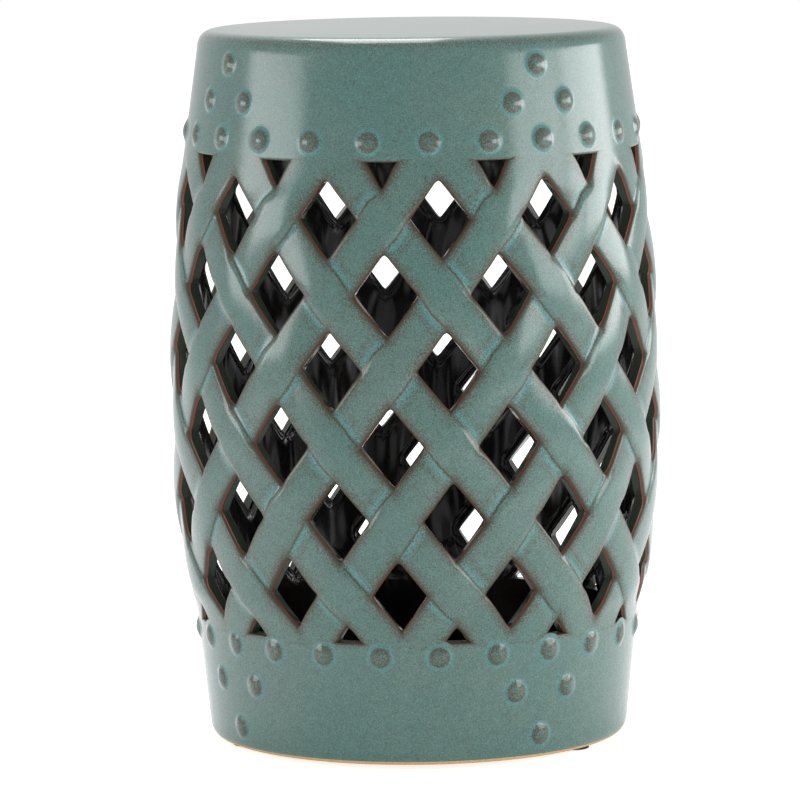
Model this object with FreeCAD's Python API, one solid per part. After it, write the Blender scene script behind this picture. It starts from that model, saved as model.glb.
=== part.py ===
import FreeCAD, Part
import math
import os

# Barrel-shaped ceramic garden stool with a woven openwork wall, in millimetres, +Z up.
# The origin is on the floor under the middle of the seat, and -Y is the photographed side.

# Overall form
OVERALL_HEIGHT = 457.0
BELLY_RADIUS = 155.8
BELLY_HEIGHT = 209.0
UPPER_ARC_RADIUS = 1461.0
LOWER_ARC_RADIUS = 650.0
FOOT_CONE_SLOPE = 0.105
SHOULDER_CONE_SLOPE = -0.142
WALL_THICKNESS = 9.5

# Plain sections above and below the openwork
PAD_THICKNESS = 3.0
FOOT_RING_HEIGHT = 24.0
LOWER_BAND_HEIGHT = 55.0
UPPER_BAND_HEIGHT = 66.5
SEAT_THICKNESS = 9.5
SEAT_SHOULDER_WIDTH = 8.0
SEAT_CORNER_FILL = 6.0
HEEL_ROUNDING = 8.5
FOOT_LEDGE_WIDTH = 19.0
FOOT_LEDGE_THICKNESS = 9.0
BEND_FACETS = 3

# Woven openwork
COLUMNS = 13
ROWS = 6
TOP_ROW_DROP = 35.0
BOTTOM_ROW_RISE = 30.0
TOP_ROW_ANGLE = 6.5
LEAN_PER_MM = 0.0133
STRAP_WIDTH = 29.0
STRAP_THICKNESS = 8.0
STRAP_RISE = 4.0
STRAP_DIP = 1.5
STRAP_ARCH = (-1.0, -0.5, 0.0, 0.5, 1.0)
OVERLAP_STRETCH = 1.02

# Applied domed bosses
BOSS_RADIUS = 6.25
BOSS_RISE = 3.0
BOSS_ROOT = 1.5
BOSS_WAIST_RADIUS = 4.2
BOSS_WAIST_RISE = 1.8
BOSS_FACETS = 8
RING_BOSSES = 24
PYRAMIDS = 4
PYRAMID_ANGLE = 34.0
PYRAMID_HALF_SPREAD = 8.0
UPPER_RING_ANGLE = 4.0
UPPER_RING_RISE = 12.0
UPPER_PAIR_RISE = 34.5
UPPER_TIP_DROP = 9.0
LOWER_RING_ANGLE = 5.4
LOWER_RING_DROP = 9.0
LOWER_PAIR_DROP = 34.0
LOWER_TIP_DROP = 8.0

# Stick-on foot pads, set by hand at uneven thirds
PAD_DIAMETER = 20.0
PAD_INSET = 1.5
PAD_ANGLES = (-72.0, 59.0, 174.0)

# Heights and steps that follow from those sizes
FOOT_RING_TOP = PAD_THICKNESS + FOOT_RING_HEIGHT
LATTICE_BOTTOM = FOOT_RING_TOP + LOWER_BAND_HEIGHT
SEAT_UNDERSIDE = OVERALL_HEIGHT - SEAT_THICKNESS
LATTICE_TOP = SEAT_UNDERSIDE - UPPER_BAND_HEIGHT
TOP_ROW_HEIGHT = LATTICE_TOP - TOP_ROW_DROP
ROW_STEP = (TOP_ROW_HEIGHT - LATTICE_BOTTOM - BOTTOM_ROW_RISE) / (ROWS - 1)
COLUMN_STEP = 360.0 / COLUMNS
Z_AXIS = FreeCAD.Vector(0, 0, 1)
CENTRE = FreeCAD.Vector(0, 0, 0)


def wall_radius(z):
    """Outside radius of the barrel: straight cones at shoulder and foot, two arcs between that meet at the belly."""
    if z < LATTICE_BOTTOM:
        return wall_radius(LATTICE_BOTTOM) - STRAP_DIP - FOOT_CONE_SLOPE * (LATTICE_BOTTOM - z)
    if z > LATTICE_TOP:
        return wall_radius(LATTICE_TOP) + SHOULDER_CONE_SLOPE * (z - LATTICE_TOP)
    arc = UPPER_ARC_RADIUS if z > BELLY_HEIGHT else LOWER_ARC_RADIUS
    return BELLY_RADIUS - arc + math.sqrt(arc**2 - (z - BELLY_HEIGHT) ** 2)


def wall_slope(z):
    """How fast the barrel's radius grows with height."""
    if z < LATTICE_BOTTOM:
        return FOOT_CONE_SLOPE
    if z > LATTICE_TOP:
        return SHOULDER_CONE_SLOPE
    arc = UPPER_ARC_RADIUS if z > BELLY_HEIGHT else LOWER_ARC_RADIUS
    return (BELLY_HEIGHT - z) / math.sqrt(arc**2 - (z - BELLY_HEIGHT) ** 2)


def around(degrees, radius, z):
    """The point at this angle from the photographed side, at this radius and height."""
    angle = math.radians(degrees)
    return FreeCAD.Vector(radius * math.sin(angle), -radius * math.cos(angle), z)


def in_section(radius, z):
    return FreeCAD.Vector(radius, 0, z)


def on_wall(z, inset=0):
    """The point of the section that lies on the barrel at this height, or inside it by the inset."""
    return in_section(wall_radius(z) - inset, z)


def polygon_face(corners):
    return Part.Face(Part.makePolygon([*corners, corners[0]]))


def turned(corners):
    """The ring or disc whose half section has these corners."""
    return polygon_face(corners).revolve(CENTRE, Z_AXIS, 360)


def bend(start, centre, end):
    """Corners of a quarter bend from start to end round its centre, in a few flats."""
    steps = [math.pi / 2 * i / BEND_FACETS for i in range(BEND_FACETS + 1)]
    return [centre + (start - centre) * math.cos(t) + (end - centre) * math.sin(t) for t in steps]


def make_seat():
    """The flat seat disc with its rounded shoulder."""
    rim = wall_radius(SEAT_UNDERSIDE)
    flat = rim - SEAT_SHOULDER_WIDTH
    shoulder = bend(
        in_section(flat, OVERALL_HEIGHT),
        in_section(flat, SEAT_UNDERSIDE),
        in_section(rim, SEAT_UNDERSIDE),
    )
    return turned([in_section(0, OVERALL_HEIGHT), *shoulder, in_section(0, SEAT_UNDERSIDE)])


def make_upper_band():
    """The plain ring under the seat, thickened inside where the seat sits on it."""
    size = SEAT_CORNER_FILL
    corner = on_wall(SEAT_UNDERSIDE, WALL_THICKNESS)
    return turned([
        on_wall(LATTICE_TOP),
        on_wall(SEAT_UNDERSIDE),
        corner - in_section(size, 0),
        on_wall(SEAT_UNDERSIDE - size, WALL_THICKNESS),
        on_wall(LATTICE_TOP, WALL_THICKNESS),
    ])


def make_lower_band():
    """The plain cone-shaped ring between the openwork and the foot."""
    top = wall_radius(LATTICE_BOTTOM) - STRAP_DIP
    return turned([
        in_section(top, LATTICE_BOTTOM),
        in_section(top - WALL_THICKNESS + STRAP_DIP, LATTICE_BOTTOM),
        on_wall(FOOT_RING_TOP, WALL_THICKNESS),
        on_wall(FOOT_RING_TOP),
    ])


def foot_circle_radius():
    """Radius of the circle where the rounded heel turns in to the flat underside."""
    return wall_radius(PAD_THICKNESS + HEEL_ROUNDING) - HEEL_ROUNDING


def make_foot_ring():
    """The bottom ring: rounded heel outside, a ledge turned in for the pads, open in the middle."""
    low = PAD_THICKNESS
    heel = bend(
        on_wall(low + HEEL_ROUNDING),
        in_section(foot_circle_radius(), low + HEEL_ROUNDING),
        in_section(foot_circle_radius(), low),
    )
    ledge_top = low + FOOT_LEDGE_THICKNESS
    ledge_edge = foot_circle_radius() - FOOT_LEDGE_WIDTH
    inner_top = on_wall(FOOT_RING_TOP, WALL_THICKNESS)
    return turned([
        on_wall(FOOT_RING_TOP),
        *heel,
        in_section(ledge_edge, low),
        in_section(ledge_edge, ledge_top),
        in_section(inner_top.x, ledge_top),
        inner_top,
    ])


def row_height(row):
    """Height of a row's centres: row 1 is the top one, rows 0 and ROWS + 1 are cut off by the bands."""
    return TOP_ROW_HEIGHT - (row - 1) * ROW_STEP


def column_angle(row, column, z):
    """Angle of a row's opening at a height: alternate rows are staggered and the whole weave leans."""
    stagger = (row + 1) % 2 / 2
    return TOP_ROW_ANGLE + (column + stagger) * COLUMN_STEP - LEAN_PER_MM * (z - TOP_ROW_HEIGHT)


def strap_bridge(row, column):
    """One strap where it passes over another: a bar with an arched back, bent once on its hidden side.

    Straps of odd rows rise to the right and those of even rows to the left, which makes a plain weave.
    At the two bands the bar is centred on the border and is as high as the band, so that it runs out level.
    """
    z = min(LATTICE_TOP, max(LATTICE_BOTTOM, row_height(row)))
    side = 1 if row % 2 else -1
    drift_per_mm = side * COLUMN_STEP / 2 / ROW_STEP
    angle = column_angle(row + 1, column, z) + drift_per_mm * (z - row_height(row))
    radius = wall_radius(z)
    level = around(angle, 1, 0)
    upward = Z_AXIS + level * wall_slope(z)
    sideways = around(angle + 90, 1, 0)
    along = (upward + sideways * math.radians(drift_per_mm - LEAN_PER_MM) * radius).normalize()
    outward = sideways.cross(upward).normalize()
    across = outward.cross(along)
    at_border = row in (0, ROWS + 1)
    next_row = min(max(row + 1, 1), ROWS) if at_border else row + 1
    rise = STRAP_DIP if at_border else STRAP_RISE
    reach = abs(z - row_height(next_row)) / along.z * OVERLAP_STRETCH
    drop = rise + reach**2 * along.dot(sideways) ** 2 / radius / 2
    crown = level * (radius - STRAP_DIP + rise) + Z_AXIS * z - across * STRAP_WIDTH / 2
    back = [crown + along * reach * end - outward * drop * end**2 for end in STRAP_ARCH]
    depth = outward * STRAP_THICKNESS
    hidden_side = [back[-1] - depth, crown - depth, back[0] - depth]
    return polygon_face([*back, *hidden_side]).extrude(across * STRAP_WIDTH)


def make_woven_wall():
    """The openwork: every strap fused at its crossings and cut level with the two bands."""
    straps = [strap_bridge(row, column) for row in range(ROWS + 2) for column in range(COLUMNS)]
    near = BELLY_RADIUS / 2
    far = BELLY_RADIUS * 2
    zone = turned([
        in_section(near, LATTICE_BOTTOM),
        in_section(far, LATTICE_BOTTOM),
        in_section(far, LATTICE_TOP),
        in_section(near, LATTICE_TOP),
    ])
    return straps[0].multiFuse(straps[1:]).common(zone)


def boss(band, angle, height):
    """One boss: a faceted dome seated on the band's own surface and square to it."""
    level = around(angle, 1, 0)
    outward = (level - Z_AXIS * wall_slope(height)).normalize()
    seat = around(angle, wall_radius(height), height)
    sideways = around(angle + 90, 1, 0)
    upward = outward.cross(sideways)

    def ring(radius, rise):
        turns = [math.tau * (i + 0.5) / BOSS_FACETS for i in range(BOSS_FACETS)]
        flats = [sideways * math.cos(t) + upward * math.sin(t) for t in turns]
        return [seat + outward * rise + flat * radius for flat in flats]

    spread = (BOSS_RADIUS - BOSS_WAIST_RADIUS) / BOSS_WAIST_RISE
    root = ring(BOSS_RADIUS + spread * BOSS_ROOT, -BOSS_ROOT)
    waist = ring(BOSS_WAIST_RADIUS, BOSS_WAIST_RISE)
    crown = seat + outward * BOSS_RISE
    faces = [polygon_face(root)]
    for i in range(BOSS_FACETS):
        after = (i + 1) % BOSS_FACETS
        faces.append(polygon_face([root[i], root[after], waist[after], waist[i]]))
        faces.append(polygon_face([waist[i], waist[after], crown]))
    dome = Part.Solid(Part.Shell(faces))
    if dome.Volume < 0:
        dome.reverse()
    return dome.cut(band)


def boss_ring(band, first_angle, height):
    step = 360 / RING_BOSSES
    return Part.Compound([boss(band, first_angle + i * step, height) for i in range(RING_BOSSES)])


def boss_pyramids(pair_band, pair_height, tip_band, tip_height):
    """The bosses set in threes round the stool, a pair and the one that points away from the weave."""
    bosses = []
    for i in range(PYRAMIDS):
        middle = PYRAMID_ANGLE + i * 360 / PYRAMIDS
        bosses.append(boss(pair_band, middle - PYRAMID_HALF_SPREAD, pair_height))
        bosses.append(boss(pair_band, middle + PYRAMID_HALF_SPREAD, pair_height))
        bosses.append(boss(tip_band, middle, tip_height))
    return Part.Compound(bosses)


def make_foot_pad(angle):
    """One round pad stuck under the foot's ledge."""
    place = around(angle, foot_circle_radius() - PAD_INSET - PAD_DIAMETER / 2, 0)
    return Part.makeCylinder(PAD_DIAMETER / 2, PAD_THICKNESS, place)


def export(name, shape):
    """Writes one sub-part and prints what it holds."""
    shape.exportStep("parts/" + name + ".step")
    box = shape.BoundBox
    print(name, len(shape.Solids), "solids", round(shape.Volume), "mm3", shape.isValid(), box)


def main():
    os.makedirs("parts", exist_ok=True)
    upper_band = make_upper_band()
    lower_band = make_lower_band()
    foot_ring = make_foot_ring()
    export("seat", make_seat())
    export("upper_band", upper_band)
    export("woven_wall", make_woven_wall())
    export("lower_band", lower_band)
    export("foot_ring", foot_ring)
    export("upper_boss_ring", boss_ring(upper_band, UPPER_RING_ANGLE, LATTICE_TOP + UPPER_RING_RISE))
    export("lower_boss_ring", boss_ring(lower_band, LOWER_RING_ANGLE, LATTICE_BOTTOM - LOWER_RING_DROP))
    upper_pair_height = LATTICE_TOP + UPPER_PAIR_RISE
    upper_tip_height = SEAT_UNDERSIDE - UPPER_TIP_DROP
    export("upper_boss_pyramids", boss_pyramids(upper_band, upper_pair_height, upper_band, upper_tip_height))
    lower_pair_height = LATTICE_BOTTOM - LOWER_PAIR_DROP
    lower_tip_height = FOOT_RING_TOP - LOWER_TIP_DROP
    export("lower_boss_pyramids", boss_pyramids(lower_band, lower_pair_height, foot_ring, lower_tip_height))
    for i, angle in enumerate(PAD_ANGLES):
        export("foot_pad_" + str(i + 1), make_foot_pad(angle))


if __name__ == "__main__":
    main()
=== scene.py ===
import math

import bmesh
import bpy
import numpy as np
from mathutils import Matrix, Vector


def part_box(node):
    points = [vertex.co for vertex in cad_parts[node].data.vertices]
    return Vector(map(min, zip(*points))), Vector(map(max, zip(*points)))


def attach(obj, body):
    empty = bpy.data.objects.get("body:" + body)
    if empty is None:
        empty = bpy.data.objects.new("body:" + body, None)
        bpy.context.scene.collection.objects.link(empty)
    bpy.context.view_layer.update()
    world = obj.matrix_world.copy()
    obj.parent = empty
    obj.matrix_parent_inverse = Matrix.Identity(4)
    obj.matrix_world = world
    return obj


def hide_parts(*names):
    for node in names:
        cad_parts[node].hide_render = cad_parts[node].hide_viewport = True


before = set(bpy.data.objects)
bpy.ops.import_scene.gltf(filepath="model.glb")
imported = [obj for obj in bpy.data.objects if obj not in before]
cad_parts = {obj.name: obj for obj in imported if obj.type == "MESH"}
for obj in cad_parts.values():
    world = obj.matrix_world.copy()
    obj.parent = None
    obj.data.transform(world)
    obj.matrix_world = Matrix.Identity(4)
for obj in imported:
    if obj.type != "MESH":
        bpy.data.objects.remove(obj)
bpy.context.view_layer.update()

# Woven openwork: the barrel's middle, stoneware cut and modelled as straps in a plain weave, glazed celadon
# outside and dark inside. One flat cell with an opening in its middle is set 13 times round in each row,
# and the sheet of cells is bent to the barrel.

MM = 0.001

# The barrel's form: a long arc above the belly and a shorter one below it, then a cone at each band.
BELLY_HEIGHT = 209 * MM
BELLY_RADIUS = 155.8 * MM
UPPER_ARC = 1461 * MM
LOWER_ARC = 650 * MM
SHOULDER_SLOPE = -0.142
FOOT_SLOPE = 0.105
BAND_SET_IN = 1.5 * MM
WALL = 9.5 * MM
WEAVE_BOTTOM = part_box("woven_wall")[0].z
WEAVE_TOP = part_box("woven_wall")[1].z

# The weave: places count along the two slanted directions, from one opening of the top full row. Straps are
# centred on odd places and openings on even ones. Half widths are in places too.
COLUMNS = 13
ROWS = 9
LOWEST_ROW = -7.0
TOP_ROW_HEIGHT = 346 * MM
ROW_STEP = 46.8 * MM
TOP_ROW_ANGLE = math.radians(6.5)
LEAN_PER_METRE = math.radians(13.3)
LINE_SPACING = 29.3 * MM
STRAP_HALF = 0.49
GAP_HALF = 1 - STRAP_HALF
STRAP_MEAN = 0.5 * MM
STRAP_WAVE = 1.45 * MM
STRAP_CROWN = 0.85 * MM
STEP_INSIDE = 4.2 * MM
STEP_OUTSIDE = 2.2 * MM
EDGE_ROUNDING = 2.2 * MM
INNER_ROUNDING = 1.6 * MM
BAND_LAP = 2 * MM

# The openings as they are cut by hand, in places: how much each row's are larger or smaller, how much any
# one of them varies, and how they narrow above the top row, between two heights in rows. At an opening's
# corners its outline is pulled in, within a squared distance.
ROW_GROWTH = (
    (1, 0.11), (0, 0.022), (-1, 0.045), (-2, 0.03), (-3, 0.03), (-4, 0.035), (-5, -0.03), (-6, 0.073),
)
HAND_VARIATION = 0.008
HAND_SEED = 4
TOP_TAPER = 0.10
TAPER_START, TAPER_END = 0.44, 0.76
CORNER_REACH = 0.014
SIDE_CORNER, UPPER_CORNER, LOWER_CORNER = 0.02, 0.05, 0.03

# Near the bands the relief dies away over these heights, and the wall leans by these slopes to meet their
# cones.
TOP_RUN_IN, BOTTOM_RUN_IN = 26 * MM, 22 * MM
TOP_LEAN_IN, BOTTOM_LEAN_IN = -0.024, 0.094

# Where the glaze pools and runs thin, and where shade is painted. A line along a strap that lies over
# another has a strength, a place past its side and a width, the last two in millimetres. It dies away, as
# the step does, where the strap underneath ends. The line on the under strap past the crease is painted
# shade, laid as brown speckle.
CROSSING_FADE = 0.2
CREASE_POOL = (1.0, 1.9, 1.8)
THIN_LIP = (0.66, -0.6, 0.8)
HOLLOW_SHADE = (0.25, 6, 3)
THIN_EDGE_REACH = 3.4 * MM
# A little more brown speckle over the whole weave, which darkens it.
WEAVE_DARKENING = 0.04

# Grid lines across half an opening and half a strap, and rings down a cut edge, as shares of each.
ACROSS_GAP = (0, 0.3, 0.55, 0.75, 0.88, 0.96)
ACROSS_STRAP = (0, 0.3, 0.55, 0.72, 0.82, 0.89, 0.94, 0.975, 1)
ACROSS_STRAP_INSIDE = (0, 0.5, 0.85, 1)
CUT_STEPS = (0.1, 0.3, 0.55, 0.8, 0.94)
SAME_PLACE = 1e-6


def ease(x):
    """A smooth step from nought to one."""
    t = np.clip(x, 0, 1)
    return t * t * (3 - 2 * t)


def quarter_round(distance, radius):
    """How far a surface has dropped at this distance from an edge rounded to this radius."""
    into = np.clip(1 - distance / radius, 0, 1)
    return radius * (1 - np.sqrt(1 - into**2))


def strap_back(across, wave):
    """Height of a strap's back, waved by the weave and crowned."""
    offset = np.minimum(np.abs(across) / STRAP_HALF, 1)
    return STRAP_MEAN + wave - STRAP_CROWN * offset**2


def line_near(distance, strength, place, width):
    """A soft line: this strength at a place, fading over a width, both in millimetres."""
    return strength * np.exp(-(((distance / MM - place) / width) ** 2))


def weave_relief(p, q, side):
    """Weave height round an opening, where glaze pools in a crease, runs thin, and has painted shade."""
    strap_p, strap_q = np.where(p < 0, -1, 1), np.where(q < 0, -1, 1)
    rising = strap_back(p - strap_p, side * STRAP_WAVE * np.cos(np.pi * (q - strap_p) / 2))
    falling = strap_back(q - strap_q, -side * STRAP_WAVE * np.cos(np.pi * (strap_q - p) / 2))
    rising_over = side * np.cos(np.pi * (strap_q - strap_p) / 2) > 0
    over, under = np.where(rising_over, rising, falling), np.where(rising_over, falling, rising)
    across_over = np.where(rising_over, np.abs(p - strap_p), np.abs(q - strap_q))
    across_under = np.where(rising_over, np.abs(q - strap_q), np.abs(p - strap_p))
    outward = (across_over - STRAP_HALF) * LINE_SPACING
    crossing = 1 - ease((across_under - STRAP_HALF) / CROSSING_FADE)
    step = ease((outward + STEP_INSIDE) / (STEP_INSIDE + STEP_OUTSIDE)) * crossing
    pool = line_near(outward, *CREASE_POOL) * crossing
    # The thin lip is real glaze. The second line, on the under strap beside the crease, is painted shade
    # laid as brown speckle.
    broken = (line_near(outward, *THIN_LIP) + line_near(outward, *HOLLOW_SHADE)) * crossing
    return over + (under - over) * step, pool, broken


def gap_distance(p, q):
    """Distance from the outline of the opening in the middle of the cell."""
    past_p = np.maximum(np.abs(p) - GAP_HALF, 0)
    past_q = np.maximum(np.abs(q) - GAP_HALF, 0)
    return np.hypot(past_p, past_q) * LINE_SPACING


def cell_lines(across_strap):
    """Grid lines across a cell, close together at rounded edges and wide apart elsewhere."""
    gap = [share * GAP_HALF for share in ACROSS_GAP]
    strap = [1 - share * STRAP_HALF for share in across_strap]
    half = sorted(set(gap + strap))
    return np.array([-x for x in reversed(half) if x > 0] + half)


def corner_shift(p, q):
    """Pulls the grid in at an opening's corners so that they are rounded, the upper one most."""
    away = (np.abs(p) / GAP_HALF - 1) ** 2 + (np.abs(q) / GAP_HALF - 1) ** 2
    most = np.where(p * q > 0, SIDE_CORNER, np.where(q > 0, UPPER_CORNER, LOWER_CORNER))
    pull = np.exp(-away / CORNER_REACH) * most * GAP_HALF
    return p - np.sign(p) * pull, q - np.sign(q) * pull


def opening_pull(x, other):
    """How far a grid point moves as the opening grows by one place: not at all in mid-strap."""
    fade = np.clip((1 - np.maximum(np.abs(x), np.abs(other))) / STRAP_HALF, 0, 1)
    return np.clip(x / GAP_HALF, -1, 1) * fade


def cell_sheet(lines):
    """The cell's grid points and its faces, with the opening left out."""
    p, q = (axis.ravel() for axis in np.meshgrid(lines, lines, indexing="ij"))
    count = len(lines)
    middle = (lines[:-1] + lines[1:]) / 2
    solid = np.abs(middle) > GAP_HALF
    faces = []
    for i in range(count - 1):
        for j in range(count - 1):
            if solid[i] or solid[j]:
                corner = i * count + j
                faces.append((corner, corner + count, corner + count + 1, corner + 1))
    return p, q, faces


def border_loop(lines):
    """The places of grid points along the opening's outline, in order."""
    across = [x for x in lines if abs(x) < GAP_HALF + SAME_PLACE]
    low, high = across[0], across[-1]
    loop = [(x, low) for x in across[:-1]] + [(high, x) for x in across[:-1]]
    return loop + [(x, high) for x in across[:0:-1]] + [(low, x) for x in across[:0:-1]]


def numbers_at(loop, p, q):
    """The numbers of the grid points at a loop's places."""
    return np.array([np.argmin(np.hypot(p - a, q - b)) for a, b in loop])


def woven_cell():
    """The mesh of one cell of the weave, flat, with its heights and glaze values kept on its points."""
    outer_lines, inner_lines = cell_lines(ACROSS_STRAP), cell_lines(ACROSS_STRAP_INSIDE)
    p, q, faces = cell_sheet(outer_lines)
    in_p, in_q, in_faces = cell_sheet(inner_lines)
    edge = quarter_round(gap_distance(p, q), EDGE_ROUNDING)
    inner = quarter_round(gap_distance(in_p, in_q), INNER_ROUNDING) - WALL
    loop = border_loop(outer_lines)
    size = len(loop)
    top, low = numbers_at(loop, p, q), numbers_at(loop, in_p, in_q)

    def cut_down(outer):
        """Values down the cut edge, from the outer surface to the inner one."""
        return np.concatenate([outer[top] * (1 - share) + inner[low] * share for share in CUT_STEPS])

    cut_p, cut_q = np.tile(p[top], len(CUT_STEPS)), np.tile(q[top], len(CUT_STEPS))
    first_inner = len(p)
    first_cut = first_inner + len(in_p)
    rings = [first_cut + k * size + np.arange(size) for k in range(len(CUT_STEPS))]
    rings = [top, *rings, low + first_inner]
    cut_faces = []
    for upper, lower in zip(rings, rings[1:]):
        for k in range(size):
            after = (k + 1) % size
            cut_faces.append((upper[k], lower[k], lower[after], upper[after]))
    in_faces = [[first_inner + v for v in reversed(face)] for face in in_faces]
    all_p = np.concatenate([p, in_p, cut_p])
    all_q = np.concatenate([q, in_q, cut_q])
    moved_p, moved_q = corner_shift(all_p, all_q)
    mesh = bpy.data.meshes.new("woven_cell")
    points = [(a, b, 0) for a, b in zip(moved_p, moved_q)]
    mesh.from_pydata(points, [], [*faces, *cut_faces, *in_faces])
    rest = np.zeros(len(in_p) + len(cut_p))
    near_edge = np.exp(-gap_distance(p, q) / THIN_EDGE_REACH)
    values = {
        "plain": np.concatenate([-edge, inner, cut_down(-edge)]),
        "edge": np.concatenate([near_edge, rest[:len(in_p)], rest[:len(cut_p)] + 1]),
        "widen_p": opening_pull(all_p, all_q),
        "widen_q": opening_pull(all_q, all_p),
    }
    for row, side in (("even", 1), ("odd", -1)):
        height, pool, broken = weave_relief(p, q, side)
        height -= edge
        values["woven_" + row] = np.concatenate([height, inner, cut_down(height)])
        values["pool_" + row] = np.concatenate([pool, rest])
        values["broken_" + row] = np.concatenate([broken, rest])
    for name, value in values.items():
        mesh.attributes.new(name, "FLOAT", "POINT").data.foreach_set("value", value)
    dark = np.zeros(len(mesh.polygons))
    dark[len(faces):] = 1
    mesh.attributes.new("dark", "FLOAT", "FACE").data.foreach_set("value", dark)
    return bpy.data.objects.new("woven_cell", mesh)


# Materials of the openwork: a celadon glaze that runs thin and rusty on edges and pools blue in creases,
# and a dark glossy glaze inside, greener where it thins on the cut edges.
SEA_GREEN, GREY_GREEN = (0.060, 0.164, 0.146, 1), (0.092, 0.176, 0.152, 1)
MOTTLE_GREEN = (0.052, 0.125, 0.110, 1)
THIN_OLIVE = (0.085, 0.105, 0.075, 1)
POOLED_BLUE = (0.070, 0.270, 0.280, 1)
PALE_FLECK = (0.17, 0.33, 0.30, 1)
DARK_GRAIN = (0.036, 0.048, 0.040, 1)
BROWN_SPECKLE = (0.036, 0.030, 0.015, 1)
RUST = (0.135, 0.026, 0.006, 1)
INNER_BLACK, INNER_BROWN = (0.004, 0.003, 0.003, 1), (0.010, 0.008, 0.007, 1)
CUT_OLIVE = (0.055, 0.074, 0.052, 1)
STREAKED = (1, 1, 0.35)


def feed(tree, socket, value):
    """Puts a value or another node's output into a socket."""
    if isinstance(value, bpy.types.NodeSocket):
        tree.links.new(value, socket)
    else:
        socket.default_value = value


def calc(tree, operation, *values, clamp=False):
    """A sum on values or other nodes' outputs."""
    node = tree.nodes.new("ShaderNodeMath")
    node.operation = operation
    node.use_clamp = clamp
    for socket, value in zip(node.inputs, values):
        feed(tree, socket, value)
    return node.outputs["Value"]


def new_material(name):
    """A material with its tree, its shader and the object's own coordinates."""
    material = bpy.data.materials.new(name)
    material.use_nodes = True
    tree = material.node_tree
    tree.nodes.clear()
    output = tree.nodes.new("ShaderNodeOutputMaterial")
    shader = tree.nodes.new("ShaderNodeBsdfPrincipled")
    tree.links.new(shader.outputs["BSDF"], output.inputs["Surface"])
    coords = tree.nodes.new("ShaderNodeTexCoord").outputs["Object"]
    return material, tree, shader, coords


def noise(tree, coords, scale, detail, rough, stretch=(1, 1, 1)):
    """Noise with about this many features in a metre."""
    mapping = tree.nodes.new("ShaderNodeMapping")
    mapping.inputs["Scale"].default_value = stretch
    tree.links.new(coords, mapping.inputs["Vector"])
    texture = tree.nodes.new("ShaderNodeTexNoise")
    feed(tree, texture.inputs["Scale"], scale)
    feed(tree, texture.inputs["Detail"], detail)
    feed(tree, texture.inputs["Roughness"], rough)
    tree.links.new(mapping.outputs["Vector"], texture.inputs["Vector"])
    return texture.outputs["Fac"]


def ramp(tree, value, low, high, out_low=0.0, out_high=1.0):
    """Eases a value from one output to another between two limits."""
    node = tree.nodes.new("ShaderNodeMapRange")
    node.interpolation_type = "SMOOTHSTEP"
    names = ("Value", "From Min", "From Max", "To Min", "To Max")
    for name, given in zip(names, (value, low, high, out_low, out_high)):
        feed(tree, node.inputs[name], given)
    return node.outputs["Result"]


def mix_colour(tree, share, under, over):
    """One colour over another. The Mix node's colour sockets are found by number: their names repeat."""
    node = tree.nodes.new("ShaderNodeMix")
    node.data_type = "RGBA"
    feed(tree, node.inputs["Factor"], share)
    feed(tree, node.inputs[6], under)
    feed(tree, node.inputs[7], over)
    return node.outputs[2]


def painted(tree, name):
    """A value that the mesh keeps for its glaze."""
    node = tree.nodes.new("ShaderNodeAttribute")
    node.attribute_name = name
    return node.outputs["Fac"]


def bump(tree, shader, height, strength, distance):
    """A fine unevenness of the surface."""
    node = tree.nodes.new("ShaderNodeBump")
    feed(tree, node.inputs["Strength"], strength)
    feed(tree, node.inputs["Distance"], distance)
    feed(tree, node.inputs["Height"], height)
    tree.links.new(node.outputs["Normal"], shader.inputs["Normal"])


def finish_values(tree, shader, **values):
    """Fills in the shader's sockets, an underscore standing for a space."""
    for name, value in values.items():
        feed(tree, shader.inputs[name.replace("_", " ")], value)


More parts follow.
